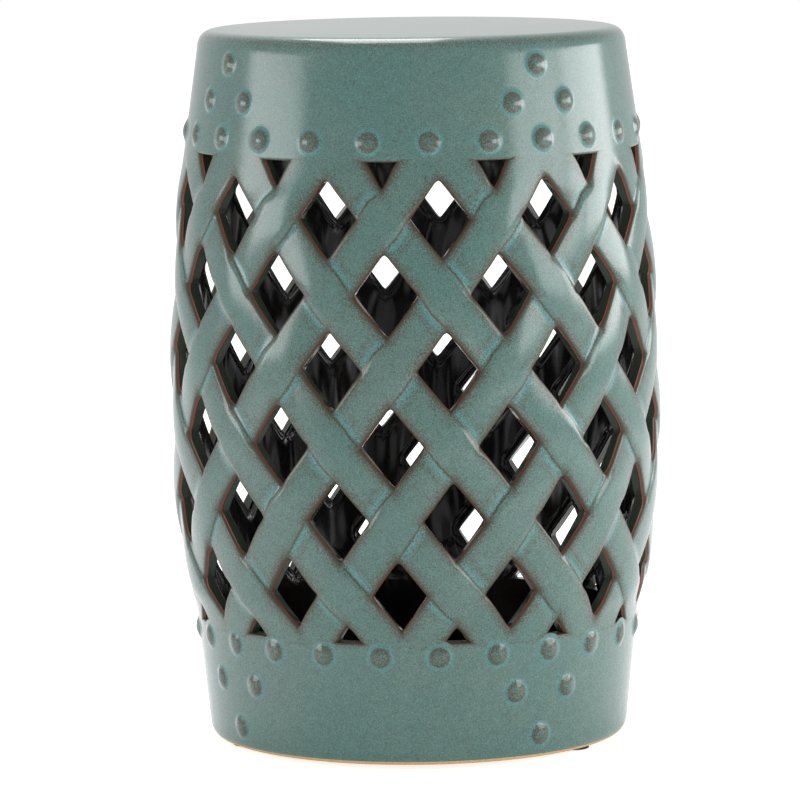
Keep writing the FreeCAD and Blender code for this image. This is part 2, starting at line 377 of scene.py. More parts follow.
def celadon_glaze():
    """Grey-green glaze, coloured by where it is thin or pooled, then flecked, under a clear coat."""
    material, tree, shader, coords = new_material("celadon_glaze")
    # On the weave, beside the creases, the thin value also holds painted shade. The olive and brown speckle
    # it brings there is painted shade.
    thin = painted(tree, "thin")
    clouds = ramp(tree, noise(tree, coords, 16, detail=4, rough=0.6), 0.35, 0.68)
    colour = mix_colour(tree, clouds, SEA_GREEN, GREY_GREEN)
    mottle = ramp(tree, noise(tree, coords, 190, detail=4, rough=0.65), 0.40, 0.65, out_high=0.4)
    colour = mix_colour(tree, mottle, colour, MOTTLE_GREEN)
    colour = mix_colour(tree, ramp(tree, thin, 0.12, 0.5, out_high=0.5), colour, THIN_OLIVE)
    pool = calc(tree, "MULTIPLY", painted(tree, "pool"), 0.75, clamp=True)
    colour = mix_colour(tree, pool, colour, POOLED_BLUE)
    pale = ramp(tree, noise(tree, coords, 1200, detail=2, rough=0.7), 0.50, 0.64, out_high=0.35)
    colour = mix_colour(tree, pale, colour, PALE_FLECK)
    grains = ramp(tree, noise(tree, coords, 1300, detail=2, rough=0.8), 0.49, 0.60, out_high=0.62)
    colour = mix_colour(tree, grains, colour, DARK_GRAIN)
    speckle = noise(tree, coords, 1150, detail=3, rough=0.7)
    speckle = ramp(tree, calc(tree, "MULTIPLY_ADD", thin, 0.34, speckle), 0.56, 0.70, out_high=0.9)
    colour = mix_colour(tree, speckle, colour, BROWN_SPECKLE)
    ragged = noise(tree, coords, 130, detail=4, rough=0.7)
    ragged = ramp(tree, ragged, 0.3, 0.7, out_low=-0.05, out_high=0.05)
    rust = ramp(tree, calc(tree, "ADD", thin, ragged), 0.88, 0.98)
    colour = mix_colour(tree, rust, colour, RUST)
    ripple = noise(tree, coords, 38, detail=2, rough=0.5)
    fine = noise(tree, coords, 420, detail=2, rough=0.5)
    ripple = calc(tree, "ADD", ripple, calc(tree, "MULTIPLY", fine, 0.03))
    bump(tree, shader, ripple, strength=0.3, distance=1.2 * MM)
    coat = ramp(tree, thin, 0.4, 0.95, out_low=1.0, out_high=0.25)
    finish_values(tree, shader, Base_Color=colour, Roughness=0.45, Specular_IOR_Level=0.3)
    finish_values(tree, shader, Coat_Weight=coat, Coat_Roughness=0.14, Coat_IOR=1.5)
    return material


def dark_inner_glaze():
    """Near-black glaze run down in streaks, olive on the cut edges of the openings."""
    material, tree, shader, coords = new_material("dark_inner_glaze")
    streaks = noise(tree, coords, 26, detail=4, rough=0.6, stretch=STREAKED)
    colour = mix_colour(tree, ramp(tree, streaks, 0.4, 0.65), INNER_BLACK, INNER_BROWN)
    cut = ramp(tree, painted(tree, "thin"), 0.3, 1.0, out_high=0.7)
    colour = mix_colour(tree, cut, colour, CUT_OLIVE)
    runs = noise(tree, coords, 34, detail=1, rough=0.4, stretch=STREAKED)
    bump(tree, shader, runs, strength=0.8, distance=7 * MM)
    finish_values(tree, shader, Base_Color=colour, Roughness=0.12, Specular_IOR_Level=0.3)
    finish_values(tree, shader, Coat_Weight=0.25, Coat_Roughness=0.06)
    return material


outside_glaze = celadon_glaze()
inside_glaze = dark_inner_glaze()


def new_tree(name, **inputs):
    """A Geometry Nodes tree with these named inputs, and its sockets by name."""
    tree = bpy.data.node_groups.new(name, "GeometryNodeTree")
    for label, kind in inputs.items():
        kind = "NodeSocket" + kind
        tree.interface.new_socket(label.replace("_", " "), in_out="INPUT", socket_type=kind)
    tree.interface.new_socket("Geometry", in_out="OUTPUT", socket_type="NodeSocketGeometry")
    sockets = tree.nodes.new("NodeGroupInput").outputs
    return tree, {label: sockets[label.replace("_", " ")] for label in inputs}


def add_node(tree, kind, settings=None, **inputs):
    """A node with its settings and inputs filled in."""
    node = tree.nodes.new(kind)
    for name, value in (settings or {}).items():
        setattr(node, name, value)
    for name, value in inputs.items():
        feed(tree, node.inputs[name.replace("_", " ")], value)
    return node


def named_value(tree, name):
    """A value kept on the geometry."""
    node = add_node(tree, "GeometryNodeInputNamedAttribute", {"data_type": "FLOAT"}, Name=name)
    return node.outputs["Attribute"]


def keep_value(tree, geometry, name, value):
    """Keeps a value on each point of the geometry under a name."""
    node = add_node(
        tree, "GeometryNodeStoreNamedAttribute", {"data_type": "FLOAT", "domain": "POINT"},
        Geometry=geometry, Name=name, Value=value,
    )
    return node.outputs["Geometry"]


def place_points(tree, geometry, x, y, z):
    """Sets the position of every point."""
    position = add_node(tree, "ShaderNodeCombineXYZ", X=x, Y=y, Z=z).outputs["Vector"]
    node = add_node(tree, "GeometryNodeSetPosition", Geometry=geometry, Position=position)
    return node.outputs["Geometry"]


def point_places(tree):
    """The X, Y and Z of the points."""
    position = tree.nodes.new("GeometryNodeInputPosition").outputs["Position"]
    return add_node(tree, "ShaderNodeSeparateXYZ", Vector=position).outputs


def place_around(tree, geometry, angle, radius, z):
    """Puts points at an angle from the photographed side, towards +X, and at a radius and height."""
    x = calc(tree, "MULTIPLY", radius, calc(tree, "SINE", angle))
    y = calc(tree, "MULTIPLY", radius, calc(tree, "MULTIPLY", calc(tree, "COSINE", angle), -1.0))
    return place_points(tree, geometry, x, y, z)


def end_tree(tree, geometry, *finishes):
    """Ends a tree in Realize Instances and Set Material, each finish a material and where it goes."""
    geometry = add_node(tree, "GeometryNodeRealizeInstances", Geometry=geometry).outputs["Geometry"]
    for material, where in finishes:
        node = add_node(
            tree, "GeometryNodeSetMaterial", Geometry=geometry, Material=material, Selection=where
        )
        geometry = node.outputs["Geometry"]
    group_output = tree.nodes.new("NodeGroupOutput")
    tree.links.new(geometry, group_output.inputs["Geometry"])


def grow(name, tree, **values):
    """Runs a tree with these values and returns an object with the result as its plain mesh."""
    grown = bpy.data.objects.new(name, bpy.data.meshes.new(name + "_start"))
    bpy.context.scene.collection.objects.link(grown)
    modifier = grown.modifiers.new(name, "NODES")
    modifier.node_group = tree
    for item in tree.interface.items_tree:
        label = item.name.replace(" ", "_")
        if item.in_out == "INPUT" and label in values:
            modifier[item.identifier] = values[label]
    bpy.context.view_layer.update()
    mesh = bpy.data.meshes.new_from_object(grown.evaluated_get(bpy.context.evaluated_depsgraph_get()))
    grown.modifiers.clear()
    grown.data = mesh
    mesh.name = name
    mesh.polygons.foreach_set("use_smooth", [True] * len(mesh.polygons))
    return grown


ROW_TOLERANCE = 0.1
JOIN_DISTANCE = 0.01 * MM


def weave_tree():
    """Sets the woven cell at each place of the wall, and bends the sheet of cells to the barrel."""
    tree, given = new_tree(
        "weave", Cell="Object", Columns="Int", Rows="Int", Lowest_row="Float", Row_step="Float",
        Top_row_height="Float", Top_row_angle="Float", Lean="Float", Belly_height="Float",
        Belly_radius="Float", Upper_arc="Float", Lower_arc="Float", Weave_top="Float", Weave_bottom="Float",
        Outside="Material", Inside="Material",
    )
    # One point for each cell, column by column. Every other row starts half a column on.
    grid = add_node(tree, "GeometryNodeMeshGrid", Vertices_X=given["Columns"], Vertices_Y=given["Rows"])
    number = tree.nodes.new("GeometryNodeInputIndex").outputs["Index"]
    column = calc(tree, "FLOOR", calc(tree, "DIVIDE", number, given["Rows"]))
    row_number = calc(tree, "FLOORED_MODULO", number, given["Rows"])
    row = calc(tree, "ADD", row_number, given["Lowest_row"])
    odd = calc(tree, "FLOORED_MODULO", row, 2.0)
    around = calc(tree, "ADD", calc(tree, "MULTIPLY", column, 2.0), odd)
    points = keep_value(tree, grid.outputs["Mesh"], "odd_row", odd)
    # The random node's float sockets are found by number: their names repeat.
    by_hand = add_node(tree, "FunctionNodeRandomValue", {"data_type": "FLOAT"}, ID=number, Seed=HAND_SEED)
    feed(tree, by_hand.inputs[2], -HAND_VARIATION)
    feed(tree, by_hand.inputs[3], HAND_VARIATION)
    gap = by_hand.outputs[1]
    for which_row, growth in ROW_GROWTH:
        in_row = calc(tree, "COMPARE", row, which_row, ROW_TOLERANCE)
        gap = calc(tree, "MULTIPLY_ADD", in_row, growth, gap)
    points = keep_value(tree, points, "gap", gap)
    along_p, along_q = calc(tree, "SUBTRACT", around, row), calc(tree, "ADD", around, row)
    points = place_points(tree, points, along_p, along_q, 0.0)
    cell = add_node(tree, "GeometryNodeObjectInfo", Object=given["Cell"]).outputs["Geometry"]
    cells = add_node(tree, "GeometryNodeInstanceOnPoints", Points=points, Instance=cell)
    sheet = add_node(tree, "GeometryNodeRealizeInstances", Geometry=cells.outputs["Instances"])
    sheet = sheet.outputs["Geometry"]
    # The flat sheet is bent: the slanted places become an angle and a height, the relief a radius.
    flat_p, flat_q, _ = point_places(tree)
    rows_above_top = calc(tree, "DIVIDE", calc(tree, "SUBTRACT", flat_q, flat_p), 2.0)
    taper = calc(tree, "MULTIPLY", ramp(tree, rows_above_top, TAPER_START, TAPER_END), -TOP_TAPER)
    gap = calc(tree, "ADD", named_value(tree, "gap"), taper)
    p = calc(tree, "MULTIPLY_ADD", named_value(tree, "widen_p"), gap, flat_p)
    q = calc(tree, "MULTIPLY_ADD", named_value(tree, "widen_q"), gap, flat_q)
    rows_up = calc(tree, "DIVIDE", calc(tree, "SUBTRACT", q, p), 2.0)
    above_top_row = calc(tree, "MULTIPLY", rows_up, given["Row_step"])
    z = calc(tree, "ADD", above_top_row, given["Top_row_height"])
    half_column = calc(tree, "DIVIDE", math.pi, given["Columns"])
    turn = calc(tree, "MULTIPLY", calc(tree, "DIVIDE", calc(tree, "ADD", p, q), 2.0), half_column)
    turn = calc(tree, "SUBTRACT", turn, calc(tree, "MULTIPLY", above_top_row, given["Lean"]))
    angle = calc(tree, "ADD", turn, given["Top_row_angle"])
    over_belly = calc(tree, "SUBTRACT", z, given["Belly_height"])
    upper = calc(tree, "GREATER_THAN", over_belly, 0.0)
    arc_gain = calc(tree, "SUBTRACT", given["Upper_arc"], given["Lower_arc"])
    arc = calc(tree, "MULTIPLY_ADD", upper, arc_gain, given["Lower_arc"])
    square = calc(tree, "SUBTRACT", calc(tree, "POWER", arc, 2.0), calc(tree, "POWER", over_belly, 2.0))
    drop = calc(tree, "SUBTRACT", arc, calc(tree, "SQRT", square))
    radius = calc(tree, "SUBTRACT", given["Belly_radius"], drop)
    # Near the bands the relief dies away, and the barrel runs into the band's cone.
    below_top = calc(tree, "SUBTRACT", given["Weave_top"], z)
    above_bottom = calc(tree, "SUBTRACT", z, given["Weave_bottom"])
    clear_of_top = ramp(tree, below_top, 0.0, TOP_RUN_IN)
    clear_of_bottom = ramp(tree, above_bottom, 0.0, BOTTOM_RUN_IN)
    clear_of_bands = calc(tree, "MULTIPLY", clear_of_top, clear_of_bottom)
    odd_row = named_value(tree, "odd_row")
    even_row = calc(tree, "SUBTRACT", 1.0, odd_row)

    def by_row(name):
        """A cell's value for even or for odd rows, whichever it is in."""
        even = calc(tree, "MULTIPLY", named_value(tree, name + "_even"), even_row)
        return calc(tree, "MULTIPLY_ADD", named_value(tree, name + "_odd"), odd_row, even)

    plain = named_value(tree, "plain")
    woven = calc(tree, "SUBTRACT", by_row("woven"), plain)
    relief = calc(tree, "MULTIPLY_ADD", woven, clear_of_bands, plain)
    low_set_in = calc(tree, "MULTIPLY_ADD", above_bottom, BOTTOM_LEAN_IN, BAND_SET_IN)
    low_set_in = calc(tree, "MULTIPLY", low_set_in, calc(tree, "SUBTRACT", 1.0, clear_of_bottom))
    high_set_in = calc(tree, "MULTIPLY", below_top, TOP_LEAN_IN)
    high_set_in = calc(tree, "MULTIPLY", high_set_in, calc(tree, "SUBTRACT", 1.0, clear_of_top))
    set_in = calc(tree, "ADD", low_set_in, high_set_in)
    radius = calc(tree, "SUBTRACT", calc(tree, "ADD", radius, relief), set_in)
    sheet = keep_value(tree, sheet, "pool", calc(tree, "MULTIPLY", by_row("pool"), clear_of_bands))
    broken = calc(tree, "MULTIPLY", by_row("broken"), clear_of_bands)
    # The thin value on the weave also carries the painted shade beside the creases and the darkening of the
    # whole weave.
    thin = calc(tree, "ADD", calc(tree, "MAXIMUM", named_value(tree, "edge"), broken), WEAVE_DARKENING)
    sheet = keep_value(tree, sheet, "thin", thin)
    sheet = place_around(tree, sheet, angle, radius, z)
    wall = add_node(tree, "GeometryNodeMergeByDistance", Geometry=sheet, Distance=JOIN_DISTANCE)
    dark = calc(tree, "GREATER_THAN", named_value(tree, "dark"), 0.5)
    end_tree(tree, wall.outputs["Geometry"], (given["Outside"], True), (given["Inside"], dark))
    return tree


CUT_TOLERANCE = 1e-7


def trim_level(piece, low, high):
    """Cuts a piece off level at two heights, and clears points that no face uses."""
    shape = bmesh.new()
    shape.from_mesh(piece.data)
    unused = [v for v in shape.verts if not v.link_faces]
    bmesh.ops.delete(shape, geom=unused, context="VERTS")
    for height, up in ((low, -1), (high, 1)):
        bmesh.ops.bisect_plane(
            shape, geom=[*shape.verts, *shape.edges, *shape.faces], dist=CUT_TOLERANCE,
            plane_co=(0, 0, height), plane_no=(0, 0, up), clear_outer=True,
        )
    shape.to_mesh(piece.data)
    shape.free()


def drop_values(piece, *kept):
    """Removes the building values from a mesh and keeps those the glaze reads."""
    for name in [a.name for a in piece.data.attributes]:
        attribute = piece.data.attributes[name]
        if attribute.data_type == "FLOAT" and name not in kept:
            piece.data.attributes.remove(attribute)


openwork = grow(
    "openwork", weave_tree(), Cell=woven_cell(), Columns=COLUMNS, Rows=ROWS, Lowest_row=LOWEST_ROW,
    Row_step=ROW_STEP, Top_row_height=TOP_ROW_HEIGHT, Top_row_angle=TOP_ROW_ANGLE, Lean=LEAN_PER_METRE,
    Belly_height=BELLY_HEIGHT, Belly_radius=BELLY_RADIUS, Upper_arc=UPPER_ARC, Lower_arc=LOWER_ARC,
    Weave_top=WEAVE_TOP, Weave_bottom=WEAVE_BOTTOM, Outside=outside_glaze, Inside=inside_glaze,
)
trim_level(openwork, WEAVE_BOTTOM - BAND_LAP, WEAVE_TOP + BAND_LAP)
drop_values(openwork, "pool", "thin")
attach(openwork, "root")
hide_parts("woven_wall")

# Seat and upper band: the seat, all but flat, and the plain ring under it, thrown in one with a soft
# shoulder between them. The ring's lower edge is rounded and thin of glaze where the openwork starts.

SEAT_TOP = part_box("seat")[1].z
SEAT_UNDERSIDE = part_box("seat")[0].z
SHOULDER_WIDTH = 11 * MM
SHOULDER_FULLNESS = 0.3 * MM
SEAT_FALL = 0.6 * MM
SHOULDER_DROP = 1.4 * SEAT_FALL
INNER_FILLET = 6 * MM
SEAT_RINGS, SHOULDER_RINGS, BAND_RINGS, EDGE_RINGS, FILLET_RINGS = 14, 14, 24, 6, 6
INNER_BAND_RINGS, CEILING_RINGS = 8, 6
SEGMENTS = 360
CREASE_ANGLE = math.radians(40)
ON_AXIS = 1e-6
OUTSIDE, INSIDE, BARE = 0, 1, 2

# How thin the glaze runs: along the shoulder, over this many rings, and towards each band's cut edge.
SHOULDER_THIN, SHOULDER_THIN_RINGS = 0.33, 3.5
TOWARDS_EDGE = [0.3, 0.5, 0.7, 0.8, 0.9, 1.0]


def arc_radius(z):
    """The barrel's radius at a height, on its two arcs."""
    arc = UPPER_ARC if z > BELLY_HEIGHT else LOWER_ARC
    return BELLY_RADIUS - arc + math.sqrt(arc**2 - (z - BELLY_HEIGHT) ** 2)


BAND_FOOT_RADIUS = arc_radius(WEAVE_TOP)
BAND_HEAD_RADIUS = arc_radius(WEAVE_BOTTOM) - BAND_SET_IN


def upper_radius(z):
    """The upper band's radius at a height."""
    return BAND_FOOT_RADIUS + SHOULDER_SLOPE * (z - WEAVE_TOP)


def lower_radius(z):
    """The lower band's radius at a height."""
    return BAND_HEAD_RADIUS - FOOT_SLOPE * (WEAVE_BOTTOM - z)


def bend(start, corner, end, steps):
    """Points of a rounded corner, without its first one."""
    points = []
    for i in range(1, steps + 1):
        t = i / steps
        a, b, c = (1 - t) ** 2, 2 * t * (1 - t), t**2
        points.append(tuple(a * s + b * m + c * e for s, m, e in zip(start, corner, end)))
    return points


def straight_run(start, end, steps):
    """Points along a straight part of a profile, without its first one."""
    shares = [(i + 1) / steps for i in range(steps)]
    return [tuple(s + (e - s) * t for s, e in zip(start, end)) for t in shares]


def turned(name, profile, materials, finish=None, thin=None):
    """A mesh turned from a profile of radii and heights, with a finish for each part between two of them
    and how thin the glaze is at each."""
    points, faces, slots = [], [], []
    rings = []
    for radius, z in profile:
        if radius < ON_AXIS:
            rings.append([len(points)] * SEGMENTS)
            points.append((0, 0, z))
            continue
        rings.append(range(len(points), len(points) + SEGMENTS))
        for k in range(SEGMENTS):
            angle = math.tau * k / SEGMENTS
            points.append((radius * math.sin(angle), -radius * math.cos(angle), z))
    for part, (upper, lower) in enumerate(zip(rings, rings[1:])):
        for k in range(SEGMENTS):
            after = (k + 1) % SEGMENTS
            corners = [upper[k], lower[k], lower[after], upper[after]]
            faces.append(list(dict.fromkeys(corners)))
            slots.append(finish[part] if finish else 0)
    mesh = bpy.data.meshes.new(name)
    mesh.from_pydata(points, [], faces)
    for material in materials:
        mesh.materials.append(material)
    mesh.polygons.foreach_set("material_index", slots)
    if thin:
        value = mesh.attributes.new("thin", "FLOAT", "POINT").data
        for share, ring in zip(thin, rings):
            for k in ring:
                value[k].value = share
    mesh.polygons.foreach_set("use_smooth", [True] * len(faces))
    mesh.set_sharp_from_angle(angle=CREASE_ANGLE)
    mesh.update()
    piece = bpy.data.objects.new(name, mesh)
    bpy.context.scene.collection.objects.link(piece)
    return piece


band_head = upper_radius(SEAT_UNDERSIDE)
shoulder_start = (band_head - SHOULDER_WIDTH, SEAT_TOP - SEAT_FALL)
shoulder_corner = (upper_radius(SEAT_TOP) - SHOULDER_FULLNESS, SEAT_TOP - SHOULDER_DROP)
shoulder_end = (band_head, SEAT_UNDERSIDE)
# The seat falls with the fourth power of its radius, so that it is flat but for its rim.
seat_radii = [shoulder_start[0] * i / SEAT_RINGS for i in range(SEAT_RINGS + 1)]
outer_profile = [(r, SEAT_TOP - SEAT_FALL * (r / shoulder_start[0]) ** 4) for r in seat_radii]
outer_profile += bend(shoulder_start, shoulder_corner, shoulder_end, SHOULDER_RINGS)
edge_start = (upper_radius(WEAVE_TOP + BAND_LAP), WEAVE_TOP + BAND_LAP)
edge_end = (BAND_FOOT_RADIUS - BAND_LAP, WEAVE_TOP)
outer_profile += straight_run(shoulder_end, edge_start, BAND_RINGS)
outer_profile += bend(edge_start, (BAND_FOOT_RADIUS, WEAVE_TOP), edge_end, EDGE_RINGS)
fillet_low = (upper_radius(SEAT_UNDERSIDE - INNER_FILLET) - WALL, SEAT_UNDERSIDE - INNER_FILLET)
fillet_corner = (band_head - WALL, SEAT_UNDERSIDE)
fillet_high = (band_head - WALL - INNER_FILLET, SEAT_UNDERSIDE)
inner_foot = (BAND_FOOT_RADIUS - WALL, WEAVE_TOP)
inner_profile = [inner_foot, *straight_run(inner_foot, fillet_low, INNER_BAND_RINGS)]
inner_profile += bend(fillet_low, fillet_corner, fillet_high, FILLET_RINGS)
inner_profile += straight_run(fillet_high, (0, SEAT_UNDERSIDE), CEILING_RINGS)
finish = [OUTSIDE] * len(outer_profile) + [INSIDE] * (len(inner_profile) - 1)
shoulder_middle = len(seat_radii) + SHOULDER_RINGS // 2
from_middle = [(i - shoulder_middle) / SHOULDER_THIN_RINGS for i in range(len(outer_profile))]
thin = [SHOULDER_THIN * math.exp(-(share**2)) for share in from_middle]
thin[-len(TOWARDS_EDGE):] = TOWARDS_EDGE
thin += [1.0] + [0.0] * (len(inner_profile) - 1)
seat = turned("seat_and_band", outer_profile + inner_profile, [outside_glaze, inside_glaze], finish, thin)
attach(seat, "root")
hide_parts("seat", "upper_band")

# Lower band and foot: the plain ring under the openwork, glazed as the rest, and the foot ring with its
# rounded heel, wiped clean of glaze to the bare biscuit, and a ledge turned in underneath for the pads.

FOOT_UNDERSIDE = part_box("foot_ring")[0].z
HEEL_ROUNDING = 8.5 * MM
LEDGE_WIDTH = 19 * MM
LEDGE_THICKNESS = 9 * MM
LEDGE_ROOT_HEIGHT = 27 * MM
GLAZE_END = 2.2 * MM
HEEL_RINGS, SOLE_RINGS, LEDGE_RINGS, LEDGE_TOP_RINGS = 14, 4, 3, 3
DARK_BISCUIT, PALE_BISCUIT = (0.55, 0.36, 0.18, 1), (0.68, 0.49, 0.28, 1)


def bare_biscuit():
    """Fired clay without glaze, pale and grainy."""
    material, tree, shader, coords = new_material("bare_biscuit")
    grains = ramp(tree, noise(tree, coords, 700, detail=4, rough=0.6), 0.3, 0.7)
    colour = mix_colour(tree, grains, DARK_BISCUIT, PALE_BISCUIT)
    bump(tree, shader, grains, strength=0.3, distance=0.3 * MM)
    finish_values(tree, shader, Base_Color=colour, Roughness=0.85)
    return material


biscuit = bare_biscuit()
heel_top = (lower_radius(FOOT_UNDERSIDE + HEEL_ROUNDING), FOOT_UNDERSIDE + HEEL_ROUNDING)
heel_corner = (lower_radius(FOOT_UNDERSIDE), FOOT_UNDERSIDE)
heel_foot = (heel_top[0] - HEEL_ROUNDING, FOOT_UNDERSIDE)
ledge_low = (heel_foot[0] - LEDGE_WIDTH, FOOT_UNDERSIDE)
ledge_high = (ledge_low[0], FOOT_UNDERSIDE + LEDGE_THICKNESS)
ledge_root = (lower_radius(LEDGE_ROOT_HEIGHT) - WALL, FOOT_UNDERSIDE + LEDGE_THICKNESS)
inner_head = (BAND_HEAD_RADIUS - WALL, WEAVE_BOTTOM)
edge_start = (BAND_HEAD_RADIUS - BAND_LAP, WEAVE_BOTTOM)
edge_end = (lower_radius(WEAVE_BOTTOM - BAND_LAP), WEAVE_BOTTOM - BAND_LAP)
glazed = [edge_start, *bend(edge_start, (BAND_HEAD_RADIUS, WEAVE_BOTTOM), edge_end, EDGE_RINGS)]
glazed += straight_run(edge_end, heel_top, BAND_RINGS)
glazed += bend(heel_top, heel_corner, heel_foot, HEEL_RINGS)
bare = straight_run(heel_foot, ledge_low, SOLE_RINGS)
bare += straight_run(ledge_low, ledge_high, LEDGE_RINGS)
dark = straight_run(ledge_high, ledge_root, LEDGE_TOP_RINGS)
dark += straight_run(ledge_root, inner_head, INNER_BAND_RINGS)
foot_profile = [*glazed, *bare, *dark, edge_start]
finish = [BARE if z < FOOT_UNDERSIDE + GLAZE_END else OUTSIDE for _, z in glazed[1:]]
finish += [BARE] * len(bare) + [INSIDE] * len(dark) + [OUTSIDE]
from_edge = [1.0, 0.95, 0.9, 0.8, 0.7, 0.5, 0.3]
thin = from_edge + [0.0] * (len(foot_profile) - len(from_edge))
foot = turned("foot_and_band", foot_profile, [outside_glaze, inside_glaze, biscuit], finish, thin)
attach(foot, "root")
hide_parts("lower_band", "foot_ring")

# Bosses: domed nail heads of clay pressed on the two bands, a ring of 24 and four pyramids of three on
# each, under the same glaze. It has run off their crowns and pooled round them.

BOSS_RADIUS = 6.8 * MM
BOSS_RISE = 2.4 * MM
BOSS_FILL = 2.2 * MM
BOSS_RINGS = (0, 1.2, 2.4, 3.5, 4.3, 5, 5.6, 6.1, 6.5, 6.9, 7.3, 7.8, 8.4, 9.2, 10, 10.5)
BOSS_SPOKES = 28
SKIRT_SINK = 0.06 * MM
RING_COUNT = 24
PYRAMIDS = 4
PYRAMID_ANGLE = math.radians(34)
PAIR_SPREAD = math.radians(8)

# The glaze: pooled in a ring, up to a radius, and thin on the crown, with a thinner ring near its foot.
POOL_RING, POOL_REACH = (0.65, 7.9, 1.7), 10 * MM
CROWN_THIN, CROWN_REACH = 0.33, 6.6 * MM
THIN_RING = (0.2, 5.2, 1)


def boss_mesh():
    """A boss on a flat ground: a cap run into a thin skirt, its height kept as a value."""
    dome = (BOSS_RADIUS**2 + BOSS_RISE**2) / (2 * BOSS_RISE)
    radii = np.array(BOSS_RINGS) * MM
    cap = BOSS_RISE - dome + np.sqrt(np.maximum(dome**2 - radii**2, 0))
    mix = np.clip(0.5 + 0.5 * cap / BOSS_FILL, 0, 1)
    height = cap * mix + BOSS_FILL * mix * (1 - mix)
    height[-1] = -SKIRT_SINK
    pool = line_near(radii, *POOL_RING) * (radii < POOL_REACH)
    thin = (CROWN_THIN + line_near(radii, *THIN_RING)) * (radii < CROWN_REACH)
    points, faces, values = [(0, 0, 0)], [], [(height[0], pool[0], thin[0])]
    for ring in range(1, len(radii)):
        for k in range(BOSS_SPOKES):
            angle = math.tau * k / BOSS_SPOKES
            points.append((radii[ring] * math.cos(angle), radii[ring] * math.sin(angle), 0))
            values.append((height[ring], pool[ring], thin[ring]))
    for k in range(BOSS_SPOKES):
        after = (k + 1) % BOSS_SPOKES
        faces.append((0, 1 + k, 1 + after))
        for ring in range(len(radii) - 2):
            low, high = 1 + ring * BOSS_SPOKES, 1 + (ring + 1) * BOSS_SPOKES
            faces.append((low + k, high + k, high + after, low + after))
    mesh = bpy.data.meshes.new("boss")
    mesh.from_pydata(points, [], faces)
    for name, value in zip(("rise", "pool", "thin"), zip(*values)):
        mesh.attributes.new(name, "FLOAT", "POINT").data.foreach_set("value", value)
    return bpy.data.objects.new("boss", mesh)


def boss_tree():
    """Sets the boss at each place of a ring and of the pyramids, laid on a band's cone."""
    tree, given = new_tree(
        "bosses", Boss="Object", Ring_count="Int", Ring_angle="Float", Ring_height="Float", Pyramids="Int",
        Pyramid_angle="Float", Pair_spread="Float", Pair_height="Float", Tip_height="Float",
        Cone_radius="Float", Cone_slope="Float", Glaze="Material",
    )
    boss = add_node(tree, "GeometryNodeObjectInfo", Object=given["Boss"]).outputs["Geometry"]
    left = calc(tree, "SUBTRACT", given["Pyramid_angle"], given["Pair_spread"])
    right = calc(tree, "ADD", given["Pyramid_angle"], given["Pair_spread"])
    sets = (
        (given["Ring_count"], given["Ring_angle"], given["Ring_height"]),
        (given["Pyramids"], left, given["Pair_height"]),
        (given["Pyramids"], right, given["Pair_height"]),
        (given["Pyramids"], given["Pyramid_angle"], given["Tip_height"]),
    )
    all_bosses = tree.nodes.new("GeometryNodeJoinGeometry")
    for count, first, height in sets:
        points = add_node(tree, "GeometryNodeMeshLine", Count=count, Offset=(0, 0, 0)).outputs["Mesh"]
        number = tree.nodes.new("GeometryNodeInputIndex").outputs["Index"]
        step = calc(tree, "DIVIDE", math.tau, count)
        points = keep_value(tree, points, "turn", calc(tree, "MULTIPLY_ADD", number, step, first))
        points = keep_value(tree, points, "level", height)
        placed = add_node(tree, "GeometryNodeInstanceOnPoints", Points=points, Instance=boss)
        tree.links.new(placed.outputs["Instances"], all_bosses.inputs["Geometry"])
    loose = add_node(tree, "GeometryNodeRealizeInstances", Geometry=all_bosses.outputs["Geometry"])
    # Each boss is laid on the band's cone: across becomes an angle, up a height, and the rise a radius.
    across, up, _ = point_places(tree)
    z = calc(tree, "ADD", up, named_value(tree, "level"))
    radius = calc(tree, "MULTIPLY_ADD", z, given["Cone_slope"], given["Cone_radius"])
    turn = calc(tree, "ADD", named_value(tree, "turn"), calc(tree, "DIVIDE", across, radius))
    rise = named_value(tree, "rise")
    out = calc(tree, "ADD", radius, rise)
    slant = calc(tree, "MULTIPLY", rise, given["Cone_slope"])
    laid = place_around(tree, loose.outputs["Geometry"], turn, out, calc(tree, "SUBTRACT", z, slant))
    end_tree(tree, laid, (given["Glaze"], True))
    return tree


boss_shape = boss_mesh()
boss_nodes = boss_tree()
# For each band, in degrees and millimetres: the ring's first angle, the heights of the ring, the pairs and
# the tips. Then its cone's radius at the floor and slope, and the nodes that these bosses stand for.
boss_sets = (
    ("upper_bosses", 4.0, 393, 415.5, 438.5, BAND_FOOT_RADIUS - SHOULDER_SLOPE * WEAVE_TOP, SHOULDER_SLOPE,
     ("upper_boss_ring", "upper_boss_pyramids")),
    ("lower_bosses", 5.4, 73, 48, 19, BAND_HEAD_RADIUS - FOOT_SLOPE * WEAVE_BOTTOM, FOOT_SLOPE,
     ("lower_boss_ring", "lower_boss_pyramids")),
)
for name, ring_angle, ring_height, pair_height, tip_height, cone_radius, cone_slope, nodes in boss_sets:
    bosses = grow(
        name, boss_nodes, Boss=boss_shape, Ring_count=RING_COUNT, Ring_angle=math.radians(ring_angle),
        Ring_height=ring_height * MM, Pyramids=PYRAMIDS, Pyramid_angle=PYRAMID_ANGLE,
        Pair_spread=PAIR_SPREAD, Pair_height=pair_height * MM, Tip_height=tip_height * MM,
        Cone_radius=cone_radius, Cone_slope=cone_slope, Glaze=outside_glaze,
    )
    drop_values(bosses, "pool", "thin")
    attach(bosses, "root")
    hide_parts(*nodes)

# Foot pads: three self-adhesive discs of black rubber under the ledge. Each is stuck on flat, with its
# lower rim softened and its sole very slightly hollow.

